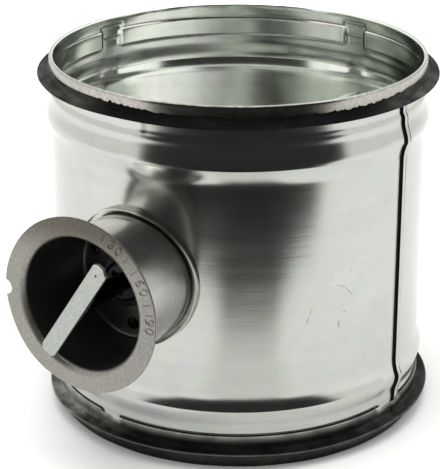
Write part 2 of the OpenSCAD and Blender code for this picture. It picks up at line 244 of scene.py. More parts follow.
def galvanised(name, base=(0.535, 0.54, 0.52), rlo=0.11, rhi=0.25, around=True, shell=False):
    """zinc-coated sheet: faint spangle, rolling streaks, wiped smears"""
    m = Mat(name).set(Metallic=1.0)
    k, K = (10, 260) if around else (40, 40)
    streak = m.noise(1, 7, 0.68, (k, k, K))
    wide = m.noise(1, 3, 0.5, (10, 10, 34) if around else (12, 12, 12))
    mott = m.noise(95, 4, 0.6, (0.7, 0.7, 1.1))
    cells = m.voronoi(260, (1, 1, 0.8))
    fine = m.noise(1700, 3, 0.6)
    lines = m.noise(1, 5, 0.65, (85, 85, 1700) if around else (90, 90, 90))
    tone = m.mix(0.5, m.ramp(streak, [(0.3, 0.93), (0.7, 1.0)]), m.ramp(wide, [(0.3, 0.90), (0.72, 1.0)]), "MULTIPLY")
    tone = m.mix(0.6, tone, m.ramp(mott, [(0.35, 0.93), (0.65, 1.0)]), "MULTIPLY")
    spang = m.mix(0.05, (1, 1, 1), cells, "MULTIPLY")
    col = m.mix(1.0, m.mix(1.0, base, tone, "MULTIPLY"), spang, "MULTIPLY")
    f = m.math("ADD", m.math("MULTIPLY", streak, 0.5), m.math("ADD", m.math("MULTIPLY", wide, 0.3), m.math("MULTIPLY", mott, 0.2)))
    r = m.math("MULTIPLY_ADD", f, rhi - rlo)
    r.node.inputs[2].default_value = rlo
    if shell:
        inner, hem, low = m.attr("inner"), m.attr("hem"), m.attr("low")
        # the inner side keeps a green passivation tint, stronger in patches, and is painted lighter than the outside
        # (its colour leaves out the base): painted light inside the duct
        tint_and_painted_light = m.ramp(m.noise(18, 3, 0.5), [(0.36, (0.88, 0.93, 0.86)), (0.66, (0.96, 0.97, 0.94))])
        bands = m.ramp(m.noise(30, 3, 0.55, (1, 1, 0.12)), [(0.38, 0.82), (0.56, 1.0)])
        tint_and_painted_light = m.mix(1.0, tint_and_painted_light, bands, "MULTIPLY")
        col = m.mix(inner, col, m.mix(1.0, m.mix(1.0, tone, spang, "MULTIPLY"), tint_and_painted_light, "MULTIPLY"))
        for a, b, w in SCRATCHES:
            col = m.mix(m.math("MULTIPLY", m.scratch(a, b, 1.35 * w), 0.85), col, (0.08, 0.08, 0.07))
        # folded edges: crazed, duller zinc. The top hem gets painted shade on its front; the lower hem is painted dark
        # all round, a painted shade under the lip, with a painted highlight towards the leg's edge and wear on the
        # sides
        craze = m.noise(1100, 4, 0.75, (1, 1, 0.6))
        worn = m.mix(m.ramp(craze, [(0.38, 0.0), (0.62, 1.0)]), (0.27, 0.256, 0.232), (0.44, 0.423, 0.388))
        col = m.mix(m.math("MULTIPLY", hem, 0.8), col, worn)
        # painted shade: the top hem is made darker, in speckles, on the side facing the camera
        front = m.math("MULTIPLY", m.attr("wear_and_painted_light"), m.ramp(m.noise(330, 4, 0.7), [(0.40, 0.72), (0.66, 0.15)]))
        col = m.mix(m.math("MULTIPLY", hem, front), col, (0.10, 0.093, 0.082))
        # painted shade on the lower hem, lightened by a painted highlight and wear where the scuff attribute is set
        painted_shade_low_hem = m.ramp(m.noise(210, 4, 0.7), [(0.35, (0.006, 0.006, 0.006)), (0.75, (0.030, 0.027, 0.024))])
        wear_and_painted_light = m.ramp(m.noise(160, 4, 0.7, (1, 1, 2.2)), [(0.30, (0.03, 0.03, 0.027)), (0.7, (0.13, 0.12, 0.11))])
        col = m.mix(m.math("MULTIPLY", low, 0.97), col, m.mix(m.attr("wear_and_painted_light"), painted_shade_low_hem, wear_and_painted_light))
        r = m.math("ADD", r, m.math("MULTIPLY", hem, 0.05))
        r = m.math("ADD", r, m.math("MULTIPLY", inner, -0.03))
    m.to("Base Color", col)
    m.to("Roughness", r)
    n1 = m.bump(wide, 0.16, 0.0010)
    if shell:
        lines = m.math("MULTIPLY", lines, m.math("SUBTRACT", 1.0, m.math("MULTIPLY", inner, 0.75)))
    n2 = m.bump(lines, 0.085, 0.00012, m.bump(streak, 0.08, 0.0002, n1))
    n3 = m.bump(mott, 0.05, 0.0002, n2)
    m.to("Normal", m.bump(fine, 0.025, 0.00005, n3))
    return m


def speckled(name, base, dark, r0=0.38, r1=0.6, metallic=0.9, bump=0.12, scale=1.0):
    """zinc that has gone dull, with fine speckle and blotches"""
    m = Mat(name).set(Metallic=metallic)
    sp = m.noise(900 * scale, 4, 0.7)
    blot = m.noise(140 * scale, 4, 0.6)
    big = m.noise(32 * scale, 3, 0.5)
    f = m.math("ADD", m.math("MULTIPLY", m.ramp(sp, [(0.35, 0.0), (0.7, 1.0)]), 0.45),
               m.math("ADD", m.math("MULTIPLY", blot, 0.35), m.math("MULTIPLY", big, 0.2)))
    m.f = f
    m.col = m.mix(m.ramp(f, [(0.2, 0.0), (0.75, 1.0)]), dark, base)
    m.rough = m.math("MULTIPLY_ADD", blot, r1 - r0)
    m.rough.node.inputs[2].default_value = r0
    m.to("Base Color", m.col).to("Roughness", m.rough)
    m.nrm = m.bump(m.math("ADD", m.math("MULTIPLY", sp, 0.5), m.math("MULTIPLY", blot, 0.5)), bump, 0.00012)
    m.to("Normal", m.nrm)
    return m


def rubber(name, base=(0.0024, 0.0024, 0.0026), r0=0.34, r1=0.55, dusty=0.35, spec=0.012):
    """black rubber; the dust attribute marks grey dust mixed with a painted sheen, and the edge attribute marks a
    painted highlight on edges
    """
    m = Mat(name).set(Metallic=0.0)
    m.b.inputs["Specular IOR Level"].default_value = spec
    dust_and_sheen = m.noise(120, 5, 0.65)
    smear = m.noise(22, 4, 0.6, (1, 1, 2.5))
    streak = m.noise(1, 6, 0.7, (34, 34, 420))
    fine = m.noise(1500, 3, 0.6)
    grey = m.mix(m.ramp(dust_and_sheen, [(0.45, 0.0), (0.75, 1.0)]), base, (0.022, 0.0215, 0.020))
    col = m.mix(m.math("MULTIPLY", m.ramp(smear, [(0.50, 0.0), (0.72, 1.0)]), dusty), base, grey)
    mask = m.math("MULTIPLY", m.ramp(streak, [(0.34, 0.10), (0.62, 1.0)]), m.ramp(dust_and_sheen, [(0.36, 0.40), (0.58, 1.0)]))
    # grey dust and painted sheen where the dust attribute is set, painted highlight where the edge attribute is set
    col = m.mix(m.math("MULTIPLY", m.attr("dust_and_sheen"), mask), col, (0.20, 0.196, 0.18))
    col = m.mix(m.math("MULTIPLY", m.attr("edge"), m.ramp(dust_and_sheen, [(0.25, 0.45), (0.6, 1.0)])), col, (0.31, 0.307, 0.288))
    m.to("Base Color", col)
    r = m.math("MULTIPLY_ADD", dust_and_sheen, r1 - r0)
    r.node.inputs[2].default_value = r0
    m.to("Roughness", r)
    m.to("Normal", m.bump(m.math("ADD", fine, m.math("MULTIPLY", streak, 0.6)), 0.14, 0.00006))
    return m


M_GALV = galvanised("galvanised_sheet", shell=True)
M_BLADE = galvanised("galvanised_blade", around=False, rlo=0.20, rhi=0.32)
M_PLATE = galvanised("galvanised_plate", base=(0.52, 0.54, 0.485), rlo=0.15, rhi=0.26)
M_RUBBER = rubber("seal_rubber")
M_SEALANT = rubber("seam_sealant", (0.004, 0.004, 0.004), 0.5, 0.7, 0.2, 0.08)
M_NYLON = rubber("black_nylon", (0.010, 0.010, 0.011), 0.3, 0.42, 0.1, 0.35)
M_LEVER = speckled("lever_zinc", (0.385, 0.405, 0.380), (0.27, 0.285, 0.265), 0.42, 0.58, 0.2, 0.05)
_geo = M_LEVER.nt.nodes.new("ShaderNodeNewGeometry")
_sep = M_LEVER.nt.nodes.new("ShaderNodeSeparateXYZ")
M_LEVER.link(_geo.outputs["Normal"], _sep.inputs[0])
_side_painted_shade = M_LEVER.ramp(M_LEVER.math("ABSOLUTE", _sep.outputs[1]), [(0.35, 1.0), (0.75, 0.0)])   # its sides are painted dark: painted shade on the faces whose normal turns away from the Y axis
M_LEVER.to("Base Color", M_LEVER.mix(_side_painted_shade, M_LEVER.col, M_LEVER.mix(1.0, M_LEVER.col, (0.22, 0.21, 0.20), "MULTIPLY")))
M_STEEL = speckled("plain_steel", (0.50, 0.50, 0.50), (0.36, 0.36, 0.36), 0.28, 0.42, 1.0, 0.06)
M_BLACKED = speckled("blackened_steel", (0.030, 0.030, 0.030), (0.014, 0.014, 0.015), 0.22, 0.36, 1.0, 0.08)

# collar: dull warm zinc outside, dark inside (a little lighter towards the top), and dirt with painted shade in the
# stamped strokes of the scale
M_COLLAR = speckled("collar_zinc", (0.345, 0.332, 0.306), (0.205, 0.197, 0.180), 0.32, 0.50, 0.95, 0.12)
_stroke_dirt_and_shade = M_COLLAR.attr("stroke_dirt_and_shade")
_deep = M_COLLAR.attr("deep")
# dirt and painted shade in the stamped strokes
_c1 = M_COLLAR.mix(M_COLLAR.math("MULTIPLY", _stroke_dirt_and_shade, 0.50), M_COLLAR.col, (0.10, 0.092, 0.080))
_top = M_COLLAR.attr("top")
_tube = M_COLLAR.attr("tube")
# the flange is made darker towards its top
_c1 = M_COLLAR.mix(_top, _c1, M_COLLAR.mix(1.0, _c1, (0.42, 0.40, 0.36), "MULTIPLY"))
# the tube's colour carries the painted light tone round its axis (shade attribute)
_c1 = M_COLLAR.mix(_tube, _c1, M_COLLAR.mix(1.0, M_COLLAR.mix(M_COLLAR.f, (0.86, 0.865, 0.82), (1.0, 1.0, 0.95)), M_COLLAR.attr("shade"), "MULTIPLY"))
# painted shade: the flange's back is painted dark, and made rougher
_back = M_COLLAR.attr("back")
_c1 = M_COLLAR.mix(_back, _c1, (0.12, 0.118, 0.108))
_c2 = M_COLLAR.mix(_deep, _c1, (0.115, 0.120, 0.110))
M_COLLAR.to("Base Color", _c2)
_r = M_COLLAR.math("MULTIPLY_ADD", _deep, -0.10)
M_COLLAR.link(M_COLLAR.rough, _r.node.inputs[2])
_r2 = M_COLLAR.math("MULTIPLY_ADD", _tube, -0.17)
M_COLLAR.link(_r, _r2.node.inputs[2])
_r3 = M_COLLAR.math("MULTIPLY_ADD", _back, 0.25)
M_COLLAR.link(_r2, _r3.node.inputs[2])
M_COLLAR.to("Roughness", _r3)
_h = M_COLLAR.math("MULTIPLY", M_COLLAR.nrm.node.inputs["Height"].links[0].from_socket, M_COLLAR.math("MULTIPLY_ADD", _tube, -0.9))
_h.node.inputs[1].links[0].from_node.inputs[2].default_value = 1.0
M_COLLAR.link(_h, M_COLLAR.nrm.node.inputs["Height"])

# ---------------------------------------------------------------- duct shell
# places left unformed by the seat roller: (middle, half width) in degrees
STRIPS = {1: [(79.85, 3.85), (169.45, 3.95), (268.6, 5.8), (353.75, 4.85)],
          0: [(80.0, 3.8), (170.0, 3.9), (260.75, 3.75), (354.9, 4.1)]}
EDGE = {}


def hem_end(th, end):
    """distance of the hem leg's ragged edge from the rim"""
    ragged = 0.22 + sum(0.78 * sm(1 - (np.abs(wrap(th - c)) - w) / 2.5) for c, w in ((269.6, 10.5), (344.6, 20.5), (62, 20), (150, 14)))
    saw = rnd_curve(th, 11 + end, 90, 230, 18)
    step = np.round(rnd_curve(th, 31 + end, 30, 90, 9) * 1.6) / 1.6
    j = 0.22 * saw + 0.20 * step
    d = wrap(th - CAM_AZ)
    short = 1.05 * sm((-d - 17) / 20) + 1.05 * sm((d - 36) / 30)
    return 4.78 - short + np.clip(j * ragged, -0.9, 0.30)


def unformed(th, s, end, soft=3.4, rr=2.5):
    """0 in the rolled seat, 1 on an unformed strip; its ends are rounded"""
    out = np.zeros(np.broadcast(th, s).shape)
    for c, w in STRIPS[end]:
        x = (w - np.abs(wrap(th - c))) * math.pi / 180 * RS       # mm inside the strip
        y = np.clip(np.abs(s - 10.4) - 3.0, 0, rr)
        curl = rr - np.sqrt(rr * rr - y * y)
        deep = 0.22 if end == 1 and c > 200 else 1.0
        out = np.maximum(out, deep * sm((x + curl) / soft + 0.5))
    return out


def r_wall(th, s, end, outside=True):
    """outer radius of the wall sheet at angle th and distance s from the rim; inside, the same sheet's steps are sharper"""
    u = unformed(th, s, end) if outside else unformed(th, s, end, 1.1, 1.1)
    groove = 0.22 * np.exp(-((s - 6.2) / 0.40) ** 2) * (1 if outside else 1 - u)
    step = sm((s - 13.2) / 2.2) if outside else sm((s - 13.8) / 1.15)
    r = RS + groove + 0.92 * step + 0.13 * sm((s - 14.7) / 1.6)
    rise = 0.88 * sm((s - 8.95) / 0.7)
    if not outside:
        rise = np.maximum(rise, 0.46 * sm((s - 3.4) / 0.7))
    r = r + (1 - step) * u * rise
    rise = sm((s - 17.3) / 7.8)
    fall = np.clip(1 - (s - 25.95) / 7.2, 0, 1) ** 2
    amp = np.full(np.broadcast(th, s).shape, 1.72)
    for c, w in STRIPS[end]:
        amp = amp - 0.35 * sm(1.25 - np.abs(wrap(th - c)) / 3.5)
    r = r + amp * np.where(s < 25.5, rise, fall)
    return r


S_HALF = [0.9, 2.2, 3.6, 4.6, 5.2, 5.6, 5.95, 6.2, 6.45, 6.8, 7.3, 8.2, 8.95, 9.2, 9.38, 9.5, 9.75, 10.4, 11.5, 12.7,
          13.45, 13.7, 14.0, 14.3, 14.6, 14.85, 15.2, 15.8, 16.6, 17.4, 18.3, 19.3, 20.3, 21.3, 22.3, 23.3, 24.2,
          24.85, 25.2, 25.85, 25.95, 26.1, 26.8, 27.8, 28.9, 30.1, 31.4, 32.6, 33.3, 34.2, 36, 39, 43.5, 48.5, 54,
          60, 66, 72]
S_IN = [0.9, 2.4, 3.4, 3.75, 4.1, 5.2, 5.7, 6.2, 6.7, 7.3, 8.4, 8.95, 9.4, 9.9, 11.2, 12.6, 13.45, 13.8, 14.2, 14.6, 15.0, 16.2,
        17.6, 19.4, 21.2, 23, 24.4, 25.2, 25.85, 26.1, 27.6, 29.4, 31.4, 33.2, 35, 40, 48, 58, 68]


def both(half):
    return [(s, 0) for s in half] + [(L - s, 1) for s in reversed(half)]


# angles: fine on the side that the seam and the strips need, coarse elsewhere
def angle_list(extra, fine=0.68, coarse=2.1):
    base = list(np.arange(212, 392, fine) % 360) + list(np.arange(32, 212, coarse))
    for end in (0, 1):
        for c, w in STRIPS[end][:2] + STRIPS[end][2:]:
            for sgn in (-1, 1):
                base += list((c + sgn * w + np.arange(-2.4, 2.5, 0.6)) % 360)
    base = [b for b in base if all(abs(wrap(b - e)) > 0.34 for e in extra)]
    base = sorted(base)
    keep = []
    for b in base:
        if not keep or b - keep[-1] > 0.42:
            keep.append(b)
    if 360 - keep[-1] + keep[0] < 0.42:
        keep.pop()
    return np.array(sorted(keep + [e % 360 for e in extra]))


SEAM = [(-2.35, 0.0), (-2.0, 0.10), (-1.7, 0.34), (-1.3, 0.42), (-1.14, 1.16), (-1.0, 1.30), (-0.55, 1.30), (-0.1, 1.24),
        (0.12, 0.96), (0.34, 1.22), (0.75, 1.16), (1.05, 0.86), (1.3, 0.34), (1.6, 0.06), (1.95, 0.0)]
seam_th = [a for a, h in SEAM]
TH = angle_list(seam_th)


def seam_height(th):
    a = wrap(th)
    return np.interp(a, seam_th, [h for _, h in SEAM], left=0, right=0)


def wave(th, z):
    """slow unevenness of the rolled sheet, mm"""
    w = np.zeros(np.broadcast(th, z).shape)
    g = np.random.default_rng(5)
    t = np.radians(th)
    for k in range(16):
        a, b = g.integers(3, 17), g.uniform(0.02, 0.11)
        w = w + g.uniform(0.4, 1) * np.sin(a * t + b * z + g.uniform(0, 6.28)) / (1 + 0.12 * a)
    s = np.minimum(z, L - z)
    return 0.022 * w * (0.25 + 0.75 * sm((s - 30) / 8))


def shell():
    th = TH[:, None]
    cols, kind, inner, hemf, low, wear_and_painted_light = [], [], [], [], [], []
    side = wrap(TH - CAM_AZ)
    # how far round from the camera: the lower hem's wear and painted highlight grow on the sides
    worn = 0.85 * sm((side - 22) / 22) + 0.70 * sm((-side - 34) / 20)

    def add(r, z, tag, dth=0.0, kin=0.0, khem=0.0, klow=0.0, k_wear_and_painted_light=0.0):
        # wear and painted light: painted shade on the top hem's front, painted highlight with wear on the lower hem
        wear_and_painted_light.append(np.clip(k_wear_and_painted_light * (0.12 + worn) if klow else k_wear_and_painted_light * sm((22 - np.abs(side + 2)) / 7 + 0.5), 0, 1) + 0 * TH)
        inner.append(np.full(len(TH), kin))
        hemf.append(np.full(len(TH), khem))
        low.append(np.full(len(TH), klow))
        r = np.broadcast_to(np.asarray(r, float), (len(TH), 1))
        z = np.broadcast_to(np.asarray(z, float), (len(TH), 1))
        a = np.radians(th + dth)
        cols.append(np.stack([r * np.cos(a), r * np.sin(a), z], -1))
        kind.append(tag)

    rim = 0.035 * rnd_curve(th, 3, 3, 24, 8)

    def hem(end, order):
        """leg end, leg, fold and back: points of one hem, from the leg's inside corner round the fold to the wall's inner face"""
        e = hem_end(th, end)
        zz = (lambda s: s) if end == 0 else (lambda s: L - s)
        pts = [(79.05, e), (79.30, e + 0.03), (79.56, e), (79.65, e - 0.1)]
        pts += [(79.65, 0.9 + (e - 1.0) * f) for f in (0.72, 0.4, 0.12)]
        pts += [(78.75 + 0.9 * math.cos(q), 0.9 - 0.9 * math.sin(q)) for q in np.radians([0, 25, 50, 72, 90, 108, 130, 155])]
        if order < 0:
            pts = pts[::-1]
        for r, s in pts:
            out = 1.0 if r > 79.0 else 0.0
            # the last value lets the lower hem's painted highlight grow towards the leg's edge
            add(r + rim * np.clip(1 - s / 6, 0, 1), zz(s), "hem", 0.0, 0.0 if r > 78.3 else 1.0, out, out if end == 0 else 0.0, float(sm((np.mean(s) - 1.2) / 2.6)) * out if end == 0 else out)

    def inner_fold(end, order):
        e = hem_end(th, end)
        zz = (lambda s: s) if end == 0 else (lambda s: L - s)
        pts = [(78.75 - 0.3 * math.cos(q), 0.9 - 0.3 * math.sin(q)) for q in np.radians([30, 90, 150])]
        pts += [(79.05, 0.9 + (e - 0.9) * 0.2), (79.05, 0.9 + (e - 0.9) * 0.75)]
        if order < 0:
            pts = pts[::-1]
        for r, s in pts:
            add(r, zz(s), "hem", 0.0, 0.0, 1.0, 1.0 if end == 0 else 0.0)

    hem(0, 1)
    for z, end in both(S_IN):
        s = z if end == 0 else L - z
        add(r_wall(th, s, end, False) - T + wave(th, z), z, "in", kin=1.0)
    hem(1, -1)
    inner_fold(1, -1)
    for z, end in reversed(both(S_HALF)):
        s = z if end == 0 else L - z
        win = float(sm((s - 9.38) / 0.12))
        h = seam_height(th) * win
        over = np.where(np.abs(wrap(th + 1.14)) < 0.01, -0.24 * win, 0.0)
        add(r_wall(th, s, end) + wave(th, z) + h, z, "out" if win > 0.5 else "end", over)
    inner_fold(0, 1)
    P = np.stack(cols, 1)[:, :, 0, :] if cols[0].ndim == 4 else np.stack([c[:, 0] for c in cols], 1)
    nj = P.shape[1]
    fm = np.zeros((len(TH), nj), int)
    a = wrap(TH)
    dark = (a > -2.36) & (a < -1.25)
    for j in range(nj):
        if kind[j] == "out" and kind[(j + 1) % nj] in ("out",):
            fm[dark, j] = 1
    ob = grid_piece("duct_shell_sheet", P, [M_GALV.m, M_SEALANT.m], fm,
                    {"inner": np.stack(inner, 1), "hem": np.stack(hemf, 1), "low": np.stack(low, 1), "wear_and_painted_light": np.stack(wear_and_painted_light, 1)})
    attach(ob, "duct")
    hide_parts("duct_shell")
    return ob


# ---------------------------------------------------------------- lip seals
def lip_seal(end, band):
    """extruded rubber: foot in the hem, ribbed lip, and a flat band in the seat"""
    th = angle_list([-1.9, -1.2, -0.6, 0.0, 0.6, 1.2, 1.9], 0.9, 2.4)[:, None]
    e = hem_end(th, end)
    zz = (lambda s: s) if end == 0 else (lambda s: L - s)
    lr = 84.7
    wob = 0.10 * rnd_curve(th, 71 + end, 2, 9, 6)          # the free edge isn't quite flat
    pts = [(78.47, 0.66), (79.03, 0.66), (79.03, 2.5), (79.03, e - 0.08), (79.10, e + 0.06), (79.45, e + 0.09), (79.78, e + 0.14),
           (80.02, e + 0.40), (80.25, 5.62), (80.6, 5.86), (80.95, 5.90), (81.22, 5.78)]
    # lip's outer face with fine ribs
    n = 17
    for k in range(1, n + 1):
        f = k / n
        r = 81.22 + f * (84.18 - 81.22)
        s = 5.78 + f * 1.18 + (0.16 if k % 4 in (2, 3) else 0.0) + 0.10 * math.sin(f * math.pi)
        pts.append((r, s, f))
    # the fourth value weights the painted highlight on the lip's free edge
    pts += [(84.46, 7.12, 1, 0.0), (84.64, 7.32, 1, 0.12), (84.70, 7.52, 1, 0.28), (84.68, 7.74, 1, 0.36), (84.52, 7.92, 1, 0.32), (84.2, 8.0, 1, 0.1)]
    for k in range(1, 8):
        f = 1 - k / 8
        pts.append((80.6 + f * 3.6, 7.72 + 0.28 * f * f, f))
    pts += [(80.2, 7.78), (79.8, 7.98), (79.5, 8.26), (79.37, 8.6)]
    if end == 0:
        # the band ends on the unformed strips, which stand out to its level
        u = unformed(th, np.full_like(th, 11.5), 0)
        front = sm((47.2 - np.abs(wrap(th - 307.6))) / 1.2)
        low = band + 0.3 + 0.9 * (1 - front) - 1.5 * sm(1.6 * u)
        lift = 0.12 + 0.22 * sm(1.6 * u) + 0.75 * sm((low - 13.9) / 0.8)
        bulge = 0.95 * np.interp(wrap(th), [-2.2, -1.4, 1.4, 2.2], [0, 1, 1, 0])
        # the fourth values weight the painted highlight towards the band's rounded top edge
        for f in (0.12, 0.35, 0.6, 0.8):
            s = 8.6 + (low - 9.3) * f + 0.1
            pts.append((79.38 + bulge * sm((f - 0.1) / 0.3) + lift * sm((f - 0.3) / 0.5), s, 0, 0.16 * (f > 0.5) + 0.34 * (f > 0.7)))
        for q in (0, 22, 45, 67, 90):
            q = math.radians(q)
            pts.append((79.0 + 0.42 * math.cos(q) + bulge + lift, low - 0.7 + 0.55 * math.sin(q), 0, 0.85 + 0.55 * math.sin(q)))
        pts += [(78.8 + 0.6 * lift, low - 0.18), (78.47, low - 0.9)]
    else:
        pts += [(79.33, band - 0.3), (79.2, band - 0.1), (79.0, band), (78.47, band)]
    pts += [(78.47, 6.5), (78.47, 3.2)]
    d = wrap(th[:, 0] - CAM_AZ)
    far = 1 - 0.65 * sm((np.abs(d) - 80) / 35)
    # amounts by angle from the camera: dust with a painted sheen on the sides, and the strength of the painted
    # highlight on the edges; both fade on the far side
    if end == 0:
        dusty = 0.03 + 0.95 * sm((-d - 30) / 30) + 0.20 * sm((d - 30) / 30)
        painted_highlight_strength = 0.58 + 0.25 * sm((-d - 40) / 25) - 0.18 * sm((d - 35) / 25)
    else:
        dusty = 0.01 + 0.30 * sm((np.abs(d) - 36) / 26)
        painted_highlight_strength = 0.05 + 0.30 * sm((np.abs(d) - 38) / 26)
    cols, dust_and_sheen, edge = [], [], []
    for p in pts:
        r, s = p[0], p[1]
        k = p[3] if len(p) > 3 else 0.0
        edge.append(k * painted_highlight_strength * far)
        dust_and_sheen.append(dusty * far * (1.0 if np.mean(r) > 79.2 else 0.0))
        f = p[2] if len(p) > 2 else 0.0
        if isinstance(s, float) and 5.6 < s < 7.1 and r < 81.3 and len(p) == 2:
            s = s + 0.5 * (e - 4.72)
        dent = 1.3 * np.exp(-(wrap(th - 215) / 16) ** 2) if end == 0 else 0.0
        r = np.broadcast_to(np.asarray(r, float), th.shape) + 0.12 * f * wob - f * dent
        s = np.broadcast_to(np.asarray(s, float), th.shape) + f * f * wob
        a = np.radians(th)
        cols.append(np.stack([r * np.cos(a), r * np.sin(a), zz(s)], -1)[:, 0])
    P = np.stack(cols, 1)
    name = "bottom_lip_seal" if end == 0 else "top_lip_seal"
    ob = grid_piece(name, P, [M_RUBBER.m], None, {"dust_and_sheen": np.stack(dust_and_sheen, 1), "edge": np.stack(edge, 1)}, sharp=60, flip=(end == 1))
    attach(ob, "duct")
    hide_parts("seal_bottom" if end == 0 else "seal_top")
    return ob


# ---------------------------------------------------------------- handle collar
def arc(cx, cy, rx, ry, a0, a1, n):
    return [(cx + rx * math.cos(t), cy + ry * math.sin(t)) for t in np.radians(np.linspace(a0, a1, n))]


DIGIT = {
    "0": [arc(0, 0, 0.29, 0.5, 0, 360, 19)],
    "3": [arc(0, 0.24, 0.27, 0.26, 150, -80, 11), arc(0, -0.23, 0.29, 0.27, 80, -150, 12)],
    "6": [arc(0, -0.22, 0.29, 0.28, 0, 360, 15), [(-0.29, -0.2), (-0.27, 0.1), (-0.16, 0.34), (0.04, 0.47), (0.22, 0.5)]],
    "9": [arc(0, 0.22, 0.29, 0.28, 0, 360, 15), [(0.29, 0.2), (0.27, -0.1), (0.16, -0.34), (-0.04, -0.47), (-0.22, -0.5)]],
}


def scale_strokes():
    """line pieces of the stamped scale, in the flange's plane, mm"""
    seg = []
    rt, hgt, gap = 33.4, 3.7, 3.75
    for text, ang in (("30", 57.5), ("60", 26.0), ("90", -1.2)):
        for k, ch in enumerate(text):
            a = math.radians(ang - (k - 0.5) * math.degrees(gap / rt))
            up = np.array([math.cos(a), math.sin(a)])
            rt_dir = np.array([math.sin(a), -math.cos(a)])
            for line in DIGIT[ch]:
                q = [up * rt + rt_dir * x * hgt * 1.02 + up * y * hgt for x, y in line]
                seg += list(zip(q[:-1], q[1:]))
    for ang in (68.2, 46.8, 36.9, 13.8, 6.6):
        a = math.radians(ang)
        u = np.array([math.cos(a), math.sin(a)])
        seg.append((u * 31.9, u * 34.8))
    return seg


